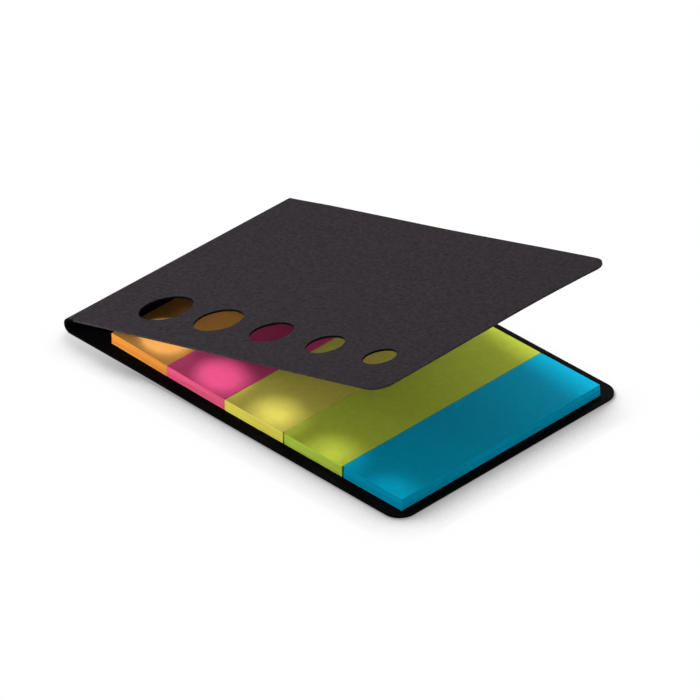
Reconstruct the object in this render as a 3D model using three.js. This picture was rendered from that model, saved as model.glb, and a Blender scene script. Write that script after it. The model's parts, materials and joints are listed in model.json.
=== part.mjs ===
// A booklet of sticky page markers.
// One card cover is folded round a narrow spine, with five round windows in its front.
// Five pads of paper markers are glued side by side on the inside of its back.
// Units are millimetres and +Z is up. X runs from the spine to the opening edge, Y along the spine.
// The origin is the middle of the booklet's base. The cover stands open, as it springs up by itself.

import * as THREE from 'three';

// Pads: one block of thin sheets for each colour, from the spine to the opening edge
const padWidth = 14.5;
const padLength = 51;
const padHeight = 2.25;
const padGap = 0.35;
const padColours = [
  { name: 'pad_orange', colour: 0xf59a3c },
  { name: 'pad_pink', colour: 0xe2407f },
  { name: 'pad_yellow', colour: 0xf0de4a },
  { name: 'pad_green', colour: 0xb4c837 },
  { name: 'pad_blue', colour: 0x0f9ab8 },
];

// Cover: card left bare round the pads, and the round fold that makes the spine
const cardThickness = 0.4;
const spineMargin = 7.95;
const openingMargin = 2.1;
const nearMargin = 2.5;
const farMargin = 3.5;
const foldOuterRadius = 1.75;
const cornerRadius = 3.5;
const frontSetBack = 1.7;
const creaseGap = 0.3;
const coverAngle = THREE.MathUtils.degToRad(15.6);
const coverColour = 0x383435;

// Windows: a row of round holes along the near edge, each one smaller than the last
const firstWindowDiameter = 10.2;
const windowDiameterStep = 1;
const windowFromNearEdge = 10.6;
const windowPitchTrim = 0.75;

// Facets in one window, in one rounded corner and round the fold
const windowFacets = 48;
const cornerFacets = 10;
const foldFacets = 20;

// Sizes that follow from the ones above
const padPitch = padWidth + padGap;
const padsAcross = padColours.length * padPitch - padGap;
const backLength = spineMargin + padsAcross + openingMargin;
const frontLength = backLength - frontSetBack;
const coverWidth = nearMargin + padLength + farMargin;
const windowPitch = padPitch - windowPitchTrim;
const foldX = foldOuterRadius - (foldOuterRadius + backLength) / 2;
const nearY = -coverWidth / 2;

function paper(colour) {
  return new THREE.MeshStandardMaterial({ color: colour, roughness: 0.8, metalness: 0 });
}

function card() {
  return new THREE.MeshStandardMaterial({ color: coverColour, roughness: 0.75, metalness: 0 });
}

function namedMesh(name, geometry, material) {
  const mesh = new THREE.Mesh(geometry, material);
  mesh.name = name;
  return mesh;
}

// A panel's outline: square corners at the crease (x = start), rounded ones at the opening edge
function panelOutline(start, length) {
  const right = Math.PI / 2;
  const outline = new THREE.Shape();
  outline.moveTo(start, 0);
  outline.lineTo(length - cornerRadius, 0);
  outline.absarc(length - cornerRadius, cornerRadius, cornerRadius, -right, 0);
  outline.lineTo(length, coverWidth - cornerRadius);
  outline.absarc(length - cornerRadius, coverWidth - cornerRadius, cornerRadius, 0, right);
  outline.lineTo(start, coverWidth);
  outline.closePath();
  return outline;
}

// The round window over pad number index, which the first window is centred on
function windowOutline(index) {
  const radius = (firstWindowDiameter - index * windowDiameterStep) / 2;
  const centreX = spineMargin + padWidth / 2 + index * windowPitch;
  const hole = new THREE.Path();
  for (let facet = 0; facet < windowFacets; facet += 1) {
    const turn = (2 * Math.PI * facet) / windowFacets;
    const x = centreX + radius * Math.cos(turn);
    const y = windowFromNearEdge + radius * Math.sin(turn);
    if (facet === 0) {
      hole.moveTo(x, y);
    } else {
      hole.lineTo(x, y);
    }
  }
  hole.closePath();
  return hole;
}

function cutFromCard(outline) {
  return new THREE.ExtrudeGeometry(outline, {
    depth: cardThickness,
    bevelEnabled: false,
    curveSegments: cornerFacets,
  });
}

// The flat back, lying on the table
function backCover() {
  const mesh = namedMesh('back_cover', cutFromCard(panelOutline(0, backLength)), card());
  mesh.position.set(foldX, nearY, 0);
  return mesh;
}

// The spine's round fold, from the back's edge up to the front's crease
function spineFold() {
  const bottom = -Math.PI / 2;
  const top = coverAngle + Math.PI / 2 - 2 * Math.PI;
  const section = new THREE.Shape();
  section.absarc(0, 0, foldOuterRadius, bottom, top, true);
  section.absarc(0, 0, foldOuterRadius - cardThickness, top, bottom, false);
  section.closePath();
  const geometry = new THREE.ExtrudeGeometry(section, {
    depth: coverWidth,
    bevelEnabled: false,
    curveSegments: foldFacets,
  });
  geometry.rotateX(Math.PI / 2);
  const mesh = namedMesh('spine_fold', geometry, card());
  mesh.position.set(foldX, nearY + coverWidth, foldOuterRadius);
  return mesh;
}

// The front, turned up about the middle of the fold, with its row of windows
function frontCover() {
  const outline = panelOutline(creaseGap, frontLength);
  outline.holes = padColours.map((pad, index) => windowOutline(index));
  const mesh = namedMesh('front_cover', cutFromCard(outline), card());
  mesh.position.z = foldOuterRadius - cardThickness;
  const turned = new THREE.Group();
  turned.position.set(foldX, nearY, foldOuterRadius);
  turned.rotation.y = -coverAngle;
  turned.add(mesh);
  return turned;
}

// One pad of markers, its long sides parallel to the spine
function markerPad(pad, index) {
  const geometry = new THREE.BoxGeometry(padWidth, padLength, padHeight);
  geometry.translate(padWidth / 2, padLength / 2, padHeight / 2);
  const mesh = namedMesh(pad.name, geometry, paper(pad.colour));
  mesh.position.set(foldX + spineMargin + index * padPitch, nearY + nearMargin, cardThickness);
  return mesh;
}

const booklet = new THREE.Group();
booklet.add(backCover(), spineFold(), frontCover());
padColours.forEach((pad, index) => booklet.add(markerPad(pad, index)));

export default booklet;
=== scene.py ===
# A booklet of sticky page markers: the folded card cover, the five pads and a small white studio.
# Blender's lengths are in metres. X runs from the spine to the opening edge, Y along the spine, Z up.

import json
import math
import random

import bpy
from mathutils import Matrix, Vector
from mathutils.geometry import delaunay_2d_cdt


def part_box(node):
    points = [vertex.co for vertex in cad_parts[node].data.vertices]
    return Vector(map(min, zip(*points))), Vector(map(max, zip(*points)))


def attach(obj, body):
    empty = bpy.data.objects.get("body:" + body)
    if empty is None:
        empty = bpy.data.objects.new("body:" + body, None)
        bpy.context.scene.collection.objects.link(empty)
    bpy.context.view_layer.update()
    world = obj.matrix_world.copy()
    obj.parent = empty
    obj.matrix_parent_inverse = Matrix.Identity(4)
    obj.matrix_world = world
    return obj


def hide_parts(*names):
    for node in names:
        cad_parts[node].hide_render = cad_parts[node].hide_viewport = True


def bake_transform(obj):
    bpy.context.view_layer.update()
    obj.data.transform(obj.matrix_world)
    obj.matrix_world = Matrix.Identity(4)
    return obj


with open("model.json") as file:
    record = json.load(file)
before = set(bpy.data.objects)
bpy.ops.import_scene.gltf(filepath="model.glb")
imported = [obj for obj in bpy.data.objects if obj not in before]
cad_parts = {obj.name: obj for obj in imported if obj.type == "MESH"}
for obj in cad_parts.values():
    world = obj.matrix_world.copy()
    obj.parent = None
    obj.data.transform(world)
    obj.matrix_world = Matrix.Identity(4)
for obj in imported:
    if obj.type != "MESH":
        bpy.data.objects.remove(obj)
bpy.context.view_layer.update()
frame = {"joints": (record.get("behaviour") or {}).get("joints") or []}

MM = 0.001
SEED = 7

# How far the front stands open at rest, and the radius of the cover's rounded corners
COVER_ANGLE = math.radians(15.6)
CORNER_RADIUS = 3.5 * MM

# Sizes read from the frame
HINGE = Vector(frame["joints"][0]["pos_m"])
BACK_LOW, BACK_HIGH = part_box("back_cover")
FRONT_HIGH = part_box("front_cover")[1]
CARD = BACK_HIGH.z - BACK_LOW.z
WIDTH = BACK_HIGH.y - BACK_LOW.y
NEAR_Y = BACK_LOW.y
BACK_LENGTH = BACK_HIGH.x - BACK_LOW.x
FOLD_RADIUS = HINGE.z
FRONT_RISE = FRONT_HIGH.z - HINGE.z - FOLD_RADIUS * math.cos(COVER_ANGLE)
FRONT_LENGTH = FRONT_RISE / math.sin(COVER_ANGLE)

# The windows' row. The first centre is measured from the fold along the front, and the row from the
# near edge. Each window is smaller than the one before.
WINDOW_COUNT = 5
FIRST_WINDOW_DIAMETER = 10.2 * MM
WINDOW_DIAMETER_STEP = 1.0 * MM
FIRST_WINDOW_CENTRE = 15.2 * MM
WINDOW_PITCH = 14.1 * MM
WINDOW_FROM_EDGE = 10.6 * MM

# How the card bends by itself: the back rises a little at the spine, and the front is slightly twisted
BACK_LIFT = 0.27 * MM
LIFT_FULL_X = -25 * MM
LIFT_END_X = -2 * MM
FRONT_TWIST = 0.47 * MM
TWIST_FROM = 36 * MM

# How the front is cut: its far edge runs out a little, and its free edge curves out to the far corner
FAR_EDGE_OUT = 0.3 * MM
FAR_EDGE_OUT_BY = 12 * MM
FAR_EDGE_FLARE = 0.35 * MM
FREE_EDGE_OUT = 1.4 * MM
FREE_EDGE_CURVES_FROM = 32 * MM
FREE_EDGE_STRETCH = 42 * MM

PADS = ("pad_orange", "pad_pink", "pad_yellow", "pad_green", "pad_blue")


def smooth(t):
    """Goes from 0 to 1 as t does, level at both ends."""
    t = min(max(t, 0.0), 1.0)
    return t * t * (3 - 2 * t)


# Shape of the folded card

FLAT_STEP = 1.5 * MM
FOLD_STEPS = 24
CORNER_STEPS = 12
WINDOW_FACETS = 72

# Grid points keep this far away from the windows
WINDOW_CLEARANCE = FLAT_STEP / 3

# The fold is drawn a little tighter than the solid, so that over the lifted back the front still
# starts at its height
VISUAL_RADIUS = FOLD_RADIUS - BACK_LIFT / (1 + math.cos(COVER_ANGLE))
MIDDLE_RADIUS = VISUAL_RADIUS - CARD / 2
FOLD_X = HINGE.x - FOLD_RADIUS + VISUAL_RADIUS
FOLD_Z = BACK_LIFT + VISUAL_RADIUS
FOLD_LENGTH = MIDDLE_RADIUS * (math.pi - COVER_ANGLE)
BACK_END = -(BACK_HIGH.x - FOLD_X)
FRONT_END = FOLD_LENGTH + FRONT_LENGTH

# Edges that turn by more than this stay crisp
CRISP_FROM = math.radians(40)

# For the triangulation: points nearer than this are one, and triangles outside the outline are left out
SAME_POINT = 0.0001 * MM
INSIDE_OUTLINE = 1

# The card's material numbers: its own black, a darker copy for painted shade, and a lighter copy for
# painted light
OUTSIDE, PAINTED_SHADE, PAINTED_LIGHT = 0, 1, 2


def card_lift(x):
    """Height of the back's underside over the table, at x."""
    return BACK_LIFT * smooth((LIFT_END_X - x) / (LIFT_END_X - LIFT_FULL_X))


def on_card(s, y, height):
    """The point at length s along the folded sheet, height outside its middle surface.

    s is below 0 on the back, 0 to FOLD_LENGTH round the spine, and above that on the front.
    """
    if s <= 0:
        x = FOLD_X - s
        return Vector((x, y, CARD / 2 + card_lift(x) - height))
    if s <= FOLD_LENGTH:
        turn = -math.pi / 2 - s / MIDDLE_RADIUS
        reach = MIDDLE_RADIUS + height
        return Vector((FOLD_X + reach * math.cos(turn), y, FOLD_Z + reach * math.sin(turn)))
    along = s - FOLD_LENGTH
    from_near = y - NEAR_Y
    curved = max(0, from_near - FREE_EDGE_CURVES_FROM) / (WIDTH - FREE_EDGE_CURVES_FROM)
    stretched = max(0, along - FRONT_LENGTH + FREE_EDGE_STRETCH) / FREE_EDGE_STRETCH
    along += FREE_EDGE_OUT * curved ** 2 * stretched
    far_edge = FAR_EDGE_OUT * smooth(along / FAR_EDGE_OUT_BY) + FAR_EDGE_FLARE * along / FRONT_LENGTH
    y += far_edge * from_near / WIDTH
    twist = FRONT_TWIST * smooth((along - TWIST_FROM) / (FRONT_LENGTH - TWIST_FROM))
    out = MIDDLE_RADIUS + height + twist * from_near / WIDTH
    x = FOLD_X + along * math.cos(COVER_ANGLE) - out * math.sin(COVER_ANGLE)
    z = FOLD_Z + along * math.sin(COVER_ANGLE) + out * math.cos(COVER_ANGLE)
    return Vector((x, y, z))


def steps(start, end, count):
    """Numbers from start to end, both included, in count equal steps."""
    return [start + (end - start) * i / count for i in range(count + 1)]


def lengthwise_stations():
    """Where the sheet's grid has its lines along s: close together round the fold."""
    back = steps(BACK_END + CORNER_RADIUS, 0, round((BACK_LENGTH - CORNER_RADIUS) / FLAT_STEP))
    fold = steps(0, FOLD_LENGTH, FOLD_STEPS)
    front = steps(FOLD_LENGTH, FRONT_END - CORNER_RADIUS, round(FRONT_LENGTH / FLAT_STEP))
    return back + fold[1:] + front[1:]


def arc(centre, radius, start, end, count):
    """Points on a circle, from the angle start to the angle end."""
    turns = steps(start, end, count)
    return [(centre[0] + radius * math.cos(a), centre[1] + radius * math.sin(a)) for a in turns]


def sheet_corner(centre, start):
    """One of the sheet's rounded corners, a quarter turn from the angle start."""
    return arc(centre, CORNER_RADIUS, start, start + math.pi / 2, CORNER_STEPS)


def sheet_outline():
    """The unfolded sheet's edge, with its four rounded corners, once round."""
    right = math.pi / 2
    near, far = NEAR_Y + CORNER_RADIUS, NEAR_Y + WIDTH - CORNER_RADIUS
    first, last = BACK_END + CORNER_RADIUS, FRONT_END - CORNER_RADIUS
    across = round(WIDTH / FLAT_STEP)
    loop = [(s, NEAR_Y) for s in lengthwise_stations()]
    loop += sheet_corner((last, near), -right)[1:]
    loop += [(FRONT_END, y) for y in steps(near, far, across)[1:-1]]
    loop += sheet_corner((last, far), 0)
    loop += [(s, NEAR_Y + WIDTH) for s in reversed(lengthwise_stations())][1:]
    loop += sheet_corner((first, far), right)[1:]
    loop += [(BACK_END, y) for y in steps(far, near, across)[1:-1]]
    loop += sheet_corner((first, near), 2 * right)[:-1]
    return loop


def windows():
    """Centre (s, y) and radius of each window."""
    found = []
    for i in range(WINDOW_COUNT):
        s = FOLD_LENGTH + FIRST_WINDOW_CENTRE + i * WINDOW_PITCH
        radius = (FIRST_WINDOW_DIAMETER - i * WINDOW_DIAMETER_STEP) / 2
        found.append(((s, NEAR_Y + WINDOW_FROM_EDGE), radius))
    return found


def inside_points():
    """Grid points inside the sheet, away from its edge and from the windows."""
    points = []
    rows = steps(NEAR_Y, NEAR_Y + WIDTH, round(WIDTH / FLAT_STEP))[1:-1]
    for s in lengthwise_stations():
        for y in rows:
            if all(math.dist((s, y), c) > radius + WINDOW_CLEARANCE for c, radius in windows()):
                points.append((s, y))
    return points


def flat_sheet():
    """The unfolded sheet as points and triangles, without the windows."""
    points, edges = [], []
    loops = [sheet_outline()]
    for centre, radius in windows():
        loops.append(arc(centre, radius, 0, 2 * math.pi, WINDOW_FACETS)[:-1])
    for loop in loops:
        first = len(points)
        points += loop
        edges += [(first + i, first + (i + 1) % len(loop)) for i in range(len(loop))]
    points += inside_points()
    places = [Vector(p) for p in points]
    found = delaunay_2d_cdt(places, edges, [], INSIDE_OUTLINE, SAME_POINT, False)
    flat, triangles = found[0], found[2]
    # The middle of a window's facet is this share of the radius away from the centre
    facet_middle = math.cos(math.pi / WINDOW_FACETS)
    kept = []
    for face in triangles:
        middle = sum((flat[i] for i in face), Vector((0, 0))) / len(face)
        if all(math.dist(middle, centre) > radius * facet_middle for centre, radius in windows()):
            kept.append(tuple(face))
    return flat, kept


def on_front_edge(point):
    """Whether a point of the unfolded sheet's edges lies on the front, and not at a window."""
    beside_window = any(math.dist(point, centre) < radius + CARD for centre, radius in windows())
    return point.x > FOLD_LENGTH and not beside_window


def cover_mesh():
    """The folded card as one closed mesh, with the material numbers OUTSIDE, PAINTED_SHADE and
    PAINTED_LIGHT.

    The inside is a darker copy of the card's black, painted shade, and so are the cut edges of the
    windows and of the back. The front's outer cut edges are a lighter copy, painted light.
    """
    flat, triangles = flat_sheet()
    count = len(flat)
    vertices = [on_card(p.x, p.y, CARD / 2) for p in flat]
    vertices += [on_card(p.x, p.y, -CARD / 2) for p in flat]
    sides = {(a, b) for face in triangles for a, b in zip(face, face[1:] + face[:1])}
    open_sides = sorted((a, b) for a, b in sides if (b, a) not in sides)
    inner = [tuple(i + count for i in reversed(face)) for face in triangles]
    walls = [(b, a, a + count, b + count) for a, b in open_sides]
    mesh = bpy.data.meshes.new("cover")
    mesh.from_pydata([tuple(v) for v in vertices], [], triangles + inner + walls)
    # The inside faces get the darker copy of the black: painted shade
    finish = [OUTSIDE] * len(triangles) + [PAINTED_SHADE] * len(inner)
    # The front's outer cut edges get the lighter copy, painted light; the windows' and the back's cut
    # edges get the darker copy, painted shade
    finish += [PAINTED_LIGHT if on_front_edge(flat[a]) else PAINTED_SHADE for a, b in open_sides]
    mesh.polygons.foreach_set("material_index", finish)
    return mesh


# Shape of a pad

SHEETS = 24
ACROSS_STEPS = 6
ALONG_STEPS = 20
ROWS = ALONG_STEPS + 2
JITTER = 0.03 * MM

# The sheets reach over most of the gap to the next pad, and end a little short at their far end.
# Two pads have cut corners on their spine side.
SPREAD = 0.14 * MM
FAR_END_SHORT = 0.15 * MM
CORNER_CUT_PADS = ("pad_green", "pad_blue")
CORNER_CUT = 0.3 * MM
CORNER_ROW = 0.3 * MM

# Pads that don't lie quite square: the blue one leans back, the orange one is narrower and tilted
BLUE_LEAN = 0.2 * MM
ORANGE_SET_IN = 0.4 * MM
ORANGE_TILT = 0.3 * MM

# A pad's material numbers
FACE, EDGES = 0, 1


def pad_row(row, length):
    """Where a row of a pad's grid lies along its length, from 0 to 1. Two lie close to the ends."""
    if row in (0, ROWS):
        return row / ROWS
    if row == 1:
        return CORNER_ROW / length
    if row == ROWS - 1:
        return 1 - CORNER_ROW / length
    return (row - 1) / ALONG_STEPS


def pad_point(name, column, row, level, shift):
    """A point of a pad, at a column and a row of its grid. level goes from 0 to 1 up the stack.

    shift moves the whole sheet.
    """
    low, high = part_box(name)
    across = column / ACROSS_STEPS
    along = pad_row(row, high.y - low.y)
    x = low.x + across * (high.x - low.x)
    y = low.y + along * (high.y - low.y)
    z = low.z + level * (high.z - low.z) + card_lift(x)
    grow = SPREAD
    if name in CORNER_CUT_PADS and column == 0 and row in (0, ROWS):
        grow -= CORNER_CUT
    if name == "pad_orange":
        x += ORANGE_SET_IN * (1 - across)
        z += ORANGE_TILT * (1 - across)
    if name == "pad_blue":
        x -= BLUE_LEAN * level * across
        y += BLUE_LEAN * level * (1 - along)
    x += shift[0] + grow * (2 * across - 1)
    y += shift[1] - FAR_END_SHORT * along
    return (x, y, z)


def ring_cells():
    """The grid positions once round a pad's edge."""
    cells = [(i, 0) for i in range(ACROSS_STEPS)]
    cells += [(ACROSS_STEPS, j) for j in range(ROWS)]
    cells += [(i, ROWS) for i in range(ACROSS_STEPS, 0, -1)]
    cells += [(0, j) for j in range(ROWS, 0, -1)]
    return cells


def close_stack(name, vertices, faces, ring_start, level, upward):
    """Adds the flat face inside the ring of vertices from ring_start on: a pad's top or bottom."""
    index = {cell: ring_start + i for i, cell in enumerate(ring_cells())}
    for i in range(1, ACROSS_STEPS):
        for j in range(1, ROWS):
            index[(i, j)] = len(vertices)
            vertices.append(pad_point(name, i, j, level, (0, 0)))
    for i in range(ACROSS_STEPS):
        for j in range(ROWS):
            cell = (index[(i, j)], index[(i + 1, j)], index[(i + 1, j + 1)], index[(i, j + 1)])
            faces.append(cell if upward else cell[::-1])


def pad_mesh(name):
    """A pad as one closed stack of sheets, each a hair out of line with the next."""
    draw = random.Random(SEED + PADS.index(name))
    vertices, faces = [], []
    ring = ring_cells()
    rings = []
    for sheet in range(SHEETS):
        shift = (draw.uniform(-JITTER, JITTER), draw.uniform(-JITTER, JITTER))
        for side in (0, 1):
            rings.append(len(vertices))
            vertices += [pad_point(name, i, j, (sheet + side) / SHEETS, shift) for i, j in ring]
    for lower, upper in zip(rings, rings[1:]):
        for i in range(len(ring)):
            following = (i + 1) % len(ring)
            faces.append((lower + i, lower + following, upper + following, upper + i))
    finish = [EDGES] * len(faces)
    close_stack(name, vertices, faces, rings[-1], 1, True)
    close_stack(name, vertices, faces, rings[0], 0, False)
    finish += [FACE] * (len(faces) - len(finish))
    mesh = bpy.data.meshes.new(name + "_sheets")
    mesh.from_pydata(vertices, [], faces)
    mesh.polygons.foreach_set("material_index", finish)
    return mesh


# Materials: the card's black with a darker copy for painted shade and a lighter copy for painted light,
# and each pad's flat face and cut edges, whose colour holds painted light and shade

OUTSIDE_BLACK = (0.021, 0.0175, 0.0205)
# A darker copy of the black, painted shade, for the inside and for the cut edges of the windows and the
# back
INSIDE_PAINTED_SHADE_BLACK = (0.005, 0.0042, 0.0048)
# A lighter copy of the black, painted light, for the front's outer cut edges
CUT_PAINTED_LIGHT_BLACK = (0.045, 0.038, 0.042)

PAPER = {
    "pad_orange": (0.95, 0.425, 0.102),
    "pad_pink": (0.91, 0.095, 0.275),
    "pad_yellow": (0.9, 0.78, 0.13),
    "pad_green": (0.69, 0.81, 0.076),
    "pad_blue": (0.0, 0.555, 0.87),
}
# Each pad's cut edges take a copy of its paper colour set to how its sides are lit. The copy is lighter
# on the pink and yellow pads, which is painted light, and darker on the orange, green and blue pads,
# which is painted shade.
PAPER_EDGES_PAINTED_LIGHT_AND_SHADE = {
    "pad_orange": (0.95, 0.36, 0.056),
    "pad_pink": (1.0, 0.135, 0.29),
    "pad_yellow": (1.0, 0.88, 0.133),
    "pad_green": (0.58, 0.76, 0.087),
    "pad_blue": (0.0, 0.43, 0.68),
}

# What each kind of surface is like. While its noise goes from the spread below NOISE_MIDDLE to the
# spread above it, its colour goes from the dark share to the light share of the one written above.
NOISE_MIDDLE = 0.5
BUMP_STRENGTH = 0.25
CARD_LOOK = {
    "scale": 1500,
    "detail": 6,
    "stretch": (1, 1, 1),
    "spread": 0.2,
    "dark": 0.66,
    "light": 1.34,
    "roughness": 0.7,
    "gloss": 0.01,
    "relief": 0.05 * MM,
}
PAPER_LOOK = {
    "scale": 900,
    "detail": 8,
    "stretch": (1, 1, 1),
    "spread": 0.25,
    "dark": 0.95,
    "light": 1.05,
    "roughness": 0.75,
    "gloss": 0.02,
    "relief": 0.02 * MM,
}
EDGE_LOOK = {
    "scale": 50,
    "detail": 3,
    "stretch": (1, 1, 60),
    "spread": 0.15,
    "dark": 0.82,
    "light": 1.06,
    "roughness": 0.85,
    "gloss": 0.03,
    "relief": 0,
}


def new_material(name):
    """A material with its node tree and its shader."""
    material = bpy.data.materials.new(name)
    material.use_nodes = True
    tree = material.node_tree
    shader = tree.nodes["Principled BSDF"]
    return material, tree, shader


def noise(tree, scale, detail, stretch):
    """A noise texture in the object's own space. Returns the socket that gives its value."""
    place = tree.nodes.new("ShaderNodeTexCoord")
    mapping = tree.nodes.new("ShaderNodeMapping")
    mapping.inputs["Scale"].default_value = stretch
    texture = tree.nodes.new("ShaderNodeTexNoise")
    texture.inputs["Scale"].default_value = scale
    texture.inputs["Detail"].default_value = detail
    tree.links.new(place.outputs["Object"], mapping.inputs["Vector"])
    tree.links.new(mapping.outputs["Vector"], texture.inputs["Vector"])
    return texture.outputs["Fac"]


def ramp(tree, source, low, high, dark, light):
    """Goes from the colour dark to the colour light as source goes from low to high."""
    node = tree.nodes.new("ShaderNodeValToRGB")
    node.color_ramp.elements[0].position = low
    node.color_ramp.elements[0].color = (*dark, 1)
    node.color_ramp.elements[1].position = high
    node.color_ramp.elements[1].color = (*light, 1)
    tree.links.new(source, node.inputs["Fac"])
    return node


def bump(tree, shader, source, distance):
    """Gives the shader a fine relief that follows source."""
    node = tree.nodes.new("ShaderNodeBump")
    node.inputs["Strength"].default_value = BUMP_STRENGTH
    node.inputs["Distance"].default_value = distance
    tree.links.new(source, node.inputs["Height"])
    tree.links.new(node.outputs["Normal"], shader.inputs["Normal"])


def scaled(colour, factor):
    """The colour times factor, with no part of it above 1."""
    return tuple(min(c * factor, 1.0) for c in colour)


def matt_material(name, base, look):
    """A matt surface whose colour varies with a noise about base, as look says."""
    material, tree, shader = new_material(name)
    pattern = noise(tree, look["scale"], look["detail"], look["stretch"])
    low, high = NOISE_MIDDLE - look["spread"], NOISE_MIDDLE + look["spread"]
    colour = ramp(tree, pattern, low, high, scaled(base, look["dark"]), scaled(base, look["light"]))
    tree.links.new(colour.outputs["Color"], shader.inputs["Base Color"])
    shader.inputs["Roughness"].default_value = look["roughness"]
    shader.inputs["Specular IOR Level"].default_value = look["gloss"]
    if look["relief"] > 0:
        bump(tree, shader, pattern, look["relief"])
    return material


def card_material(name, base):
    """Uncoated black card with a mottled fibre grain."""
    return matt_material(name, base, CARD_LOOK)


def paper_material(name):
    """The flat face of a pad's top sheet, with faint fibres."""
    return matt_material(name + "_paper", PAPER[name], PAPER_LOOK)


def edge_material(name):
    """The cut edges of a pad's sheets, with streaks that run along the sheets; their colour holds
    painted light and shade.
    """
    return matt_material(name + "_edges_painted_light_and_shade", PAPER_EDGES_PAINTED_LIGHT_AND_SHADE[name], EDGE_LOOK)


# Pieces

def add_object(name, data):
    """A new object of the scene that shows data, at the origin."""
    piece = bpy.data.objects.new(name, data)
    bpy.context.scene.collection.objects.link(piece)
    return piece


def add_cover():
    """The whole card as one piece, folded at the spine."""
    mesh = cover_mesh()
    mesh.materials.append(card_material("black_card", OUTSIDE_BLACK))
    # The second black is painted shade and the third is painted light
    mesh.materials.append(card_material("black_card_inside_painted_shade", INSIDE_PAINTED_SHADE_BLACK))
    mesh.materials.append(card_material("black_card_cut_painted_light", CUT_PAINTED_LIGHT_BLACK))
    mesh.shade_smooth()
    mesh.set_sharp_from_angle(angle=CRISP_FROM)
    piece = add_object("cover", mesh)
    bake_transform(piece)
    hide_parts("back_cover", "spine_fold", "front_cover")


def add_pad(name):
    """One pad of markers, glued to the back."""
    mesh = pad_mesh(name)
    mesh.materials.append(paper_material(name))
    mesh.materials.append(edge_material(name))
    piece = add_object(name + "_sheets", mesh)
    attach(piece, "back")
    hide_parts(name)


# Studio

WHITE = (1, 1, 1)

# The room is bright low down behind the booklet, where its strength is SKY, and dark above the booklet
# and behind the camera. It fades where a direction's share along DARK_SIDE is between these two.
SKY = 2.74
DARK_SIDE = Vector((0.4, -0.4, 0.82)).normalized()
DARK_FROM = -0.1
DARK_FULL = 0.4

# The key shines from behind and from the left, through the windows onto the pads
KEY_LEVEL = 0.79
KEY_TOWARDS = Vector((-0.5, 0.38, 1.0)).normalized()
KEY_DISTANCE = 0.7
KEY_SIZE = 0.29

# The fill comes in low at the near left corner, under the open cover
FILL_LEVEL = 0.53
FILL_TOWARDS = Vector((-0.57, -0.78, 0.24)).normalized()
FILL_DISTANCE = 0.15
FILL_SIZE = 0.08

# The side lamp comes in very low from the opening edge
SIDE_LEVEL = 0.16
SIDE_TOWARDS = Vector((0.97, 0.1, 0.06)).normalized()
SIDE_DISTANCE = 0.5
SIDE_SIZE = 0.05

# The floor, half its width in metres, and how much of the light it throws back onto the booklet
FLOOR_HALF = 1.5
FLOOR_GREY = (0.8, 0.8, 0.8, 1)

# The floor's shadow: how far it reaches, what it looks towards, and how dark it gets
SHADOW_REACH = 9 * MM
SHADOW_FROM = Vector((-0.82, 0.59, 0.75)).normalized()
SHADOW_FULL = 0.64
SHADOW_GREY = (0.33, 0.33, 0.33)
SHADOW_SAMPLES = 16

# The shadow is weaker near the spine, down to this share of it
SPINE_SHARE = 0.36
SPINE_X = -44 * MM
SPINE_FADE_END_X = -22 * MM


def seen_directly(tree):
    """1 for rays of the camera and for what gloss and glass show of the surroundings, otherwise 0."""
    path = tree.nodes.new("ShaderNodeLightPath")
    most = path.outputs["Is Camera Ray"]
    for name in ("Is Glossy Ray", "Is Transmission Ray"):
        both = tree.nodes.new("ShaderNodeMath")
        both.operation = "MAXIMUM"
        tree.links.new(most, both.inputs[0])
        tree.links.new(path.outputs[name], both.inputs[1])
        most = both.outputs[0]
    return most


def show(tree, seen, lighting, output):
    """Rays that see the surroundings directly get the shader seen, and all others lighting."""
    mix = tree.nodes.new("ShaderNodeMixShader")
    tree.links.new(seen_directly(tree), mix.inputs["Fac"])
    tree.links.new(lighting.outputs[0], mix.inputs[1])
    tree.links.new(seen.outputs[0], mix.inputs[2])
    tree.links.new(mix.outputs[0], tree.nodes[output].inputs["Surface"])


def add_world():
    """The room's light, with a plain white background."""
    world = bpy.data.worlds.new("white_room")
    world.use_nodes = True
    bpy.context.scene.world = world
    tree = world.node_tree
    room = tree.nodes["Background"]
    room.inputs["Color"].default_value = (*WHITE, 1)
    place = tree.nodes.new("ShaderNodeTexCoord")
    facing = tree.nodes.new("ShaderNodeVectorMath")
    facing.operation = "DOT_PRODUCT"
    facing.inputs[1].default_value = DARK_SIDE
    tree.links.new(place.outputs["Generated"], facing.inputs[0])
    level = tree.nodes.new("ShaderNodeMapRange")
    level.interpolation_type = "SMOOTHSTEP"
    level.inputs["From Min"].default_value = DARK_FROM
    level.inputs["From Max"].default_value = DARK_FULL
    level.inputs["To Min"].default_value = SKY
    level.inputs["To Max"].default_value = 0
    tree.links.new(facing.outputs["Value"], level.inputs["Value"])
    tree.links.new(level.outputs["Result"], room.inputs["Strength"])
    white = tree.nodes.new("ShaderNodeBackground")
    white.inputs["Color"].default_value = (*WHITE, 1)
    white.inputs["Strength"].default_value = 1
    show(tree, white, room, "World Output")


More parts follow.
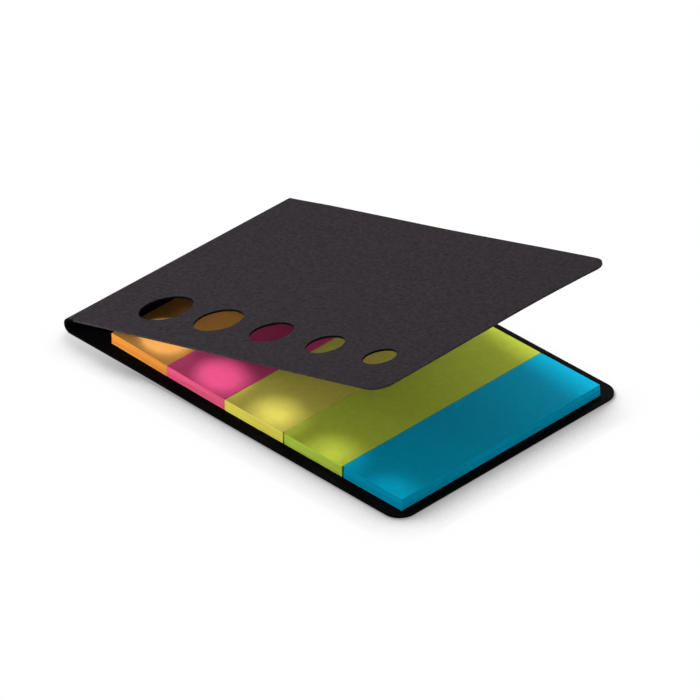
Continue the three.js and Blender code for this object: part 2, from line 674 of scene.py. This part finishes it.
def shadow_colour(tree):
    """The floor's colour as seen: white, and grey where the booklet stands between it and the key."""
    towards = tree.nodes.new("ShaderNodeCombineXYZ")
    for name, value in zip("XYZ", SHADOW_FROM):
        towards.inputs[name].default_value = value
    open_sky = tree.nodes.new("ShaderNodeAmbientOcclusion")
    open_sky.samples = SHADOW_SAMPLES
    open_sky.inputs["Distance"].default_value = SHADOW_REACH
    tree.links.new(towards.outputs[0], open_sky.inputs["Normal"])
    shadow = ramp(tree, open_sky.outputs["AO"], SHADOW_FULL, 1, SHADOW_GREY, WHITE)
    shadow.color_ramp.interpolation = "EASE"
    place = tree.nodes.new("ShaderNodeTexCoord")
    split = tree.nodes.new("ShaderNodeSeparateXYZ")
    tree.links.new(place.outputs["Object"], split.inputs[0])
    share = tree.nodes.new("ShaderNodeMapRange")
    share.inputs["From Min"].default_value = SPINE_X
    share.inputs["From Max"].default_value = SPINE_FADE_END_X
    share.inputs["To Min"].default_value = SPINE_SHARE
    share.inputs["To Max"].default_value = 1
    tree.links.new(split.outputs["X"], share.inputs["Value"])
    faded = tree.nodes.new("ShaderNodeMixRGB")
    faded.inputs["Color1"].default_value = (*WHITE, 1)
    tree.links.new(share.outputs["Result"], faded.inputs["Fac"])
    tree.links.new(shadow.outputs["Color"], faded.inputs["Color2"])
    return faded.outputs["Color"]


def add_floor():
    """A white floor that keeps the object's soft shadow, on the side away from the key lamp."""
    half = FLOOR_HALF
    mesh = bpy.data.meshes.new("floor")
    corners = [(-half, -half, 0), (half, -half, 0), (half, half, 0), (-half, half, 0)]
    mesh.from_pydata(corners, [], [(0, 1, 2, 3)])
    material, tree, shader = new_material("white_floor")
    shader.inputs["Base Color"].default_value = FLOOR_GREY
    shader.inputs["Roughness"].default_value = 1
    shader.inputs["Specular IOR Level"].default_value = 0
    glow = tree.nodes.new("ShaderNodeEmission")
    tree.links.new(shadow_colour(tree), glow.inputs["Color"])
    show(tree, glow, shader, "Material Output")
    mesh.materials.append(material)
    add_object("floor", mesh)


def add_lamp(name, towards, distance, size, level):
    """A round soft lamp, distance away from the origin.

    It lights a white sheet that faces it there to level, where 1 is white.
    """
    lamp = bpy.data.lights.new(name, "AREA")
    lamp.shape = "DISK"
    lamp.size = size
    lamp.energy = level * math.pi ** 2 * distance ** 2
    piece = add_object(name, lamp)
    piece.location = towards * distance
    piece.rotation_euler = towards.to_track_quat("Z", "Y").to_euler()


# Camera: a long lens at the photograph's viewing angle. The view's middle lies a little to the right of
# and above the point that it looks at.

AZIMUTH = math.radians(44.86)
ELEVATION = math.radians(33.9)
CAMERA_DISTANCE = 1400 * MM
PIXELS_PER_MM = 5.525
IMAGE_WIDTH = 700
SENSOR_MM = 36
NEAREST_SEEN = 10 * MM
FURTHEST_SEEN = 20000 * MM
LOOK_AT = Vector((-1.76 * MM, -0.44 * MM, 0))
RIGHT_OF_AIM = 3.104 * MM
ABOVE_AIM = 1.734 * MM


def add_camera():
    """The camera, at AZIMUTH and ELEVATION, with the booklet at PIXELS_PER_MM in its view."""
    flat = math.cos(ELEVATION)
    back = Vector((math.sin(AZIMUTH) * flat, -math.cos(AZIMUTH) * flat, math.sin(ELEVATION)))
    right = Vector((math.cos(AZIMUTH), math.sin(AZIMUTH), 0))
    up = back.cross(right)
    camera = bpy.data.cameras.new("camera")
    camera.sensor_width = SENSOR_MM
    camera.lens = PIXELS_PER_MM * CAMERA_DISTANCE / MM / IMAGE_WIDTH * SENSOR_MM
    camera.clip_start = NEAREST_SEEN
    camera.clip_end = FURTHEST_SEEN
    piece = add_object("camera", camera)
    aim = LOOK_AT + right * RIGHT_OF_AIM + up * ABOVE_AIM
    piece.location = aim + back * CAMERA_DISTANCE
    piece.rotation_euler = back.to_track_quat("Z", "Y").to_euler()
    bpy.context.scene.camera = piece


add_camera()
add_cover()
for pad in PADS:
    add_pad(pad)
add_world()
add_floor()
add_lamp("key", KEY_TOWARDS, KEY_DISTANCE, KEY_SIZE, KEY_LEVEL)
add_lamp("fill", FILL_TOWARDS, FILL_DISTANCE, FILL_SIZE, FILL_LEVEL)
add_lamp("side", SIDE_TOWARDS, SIDE_DISTANCE, SIDE_SIZE, SIDE_LEVEL)
bpy.context.scene.view_settings.view_transform = "Standard"
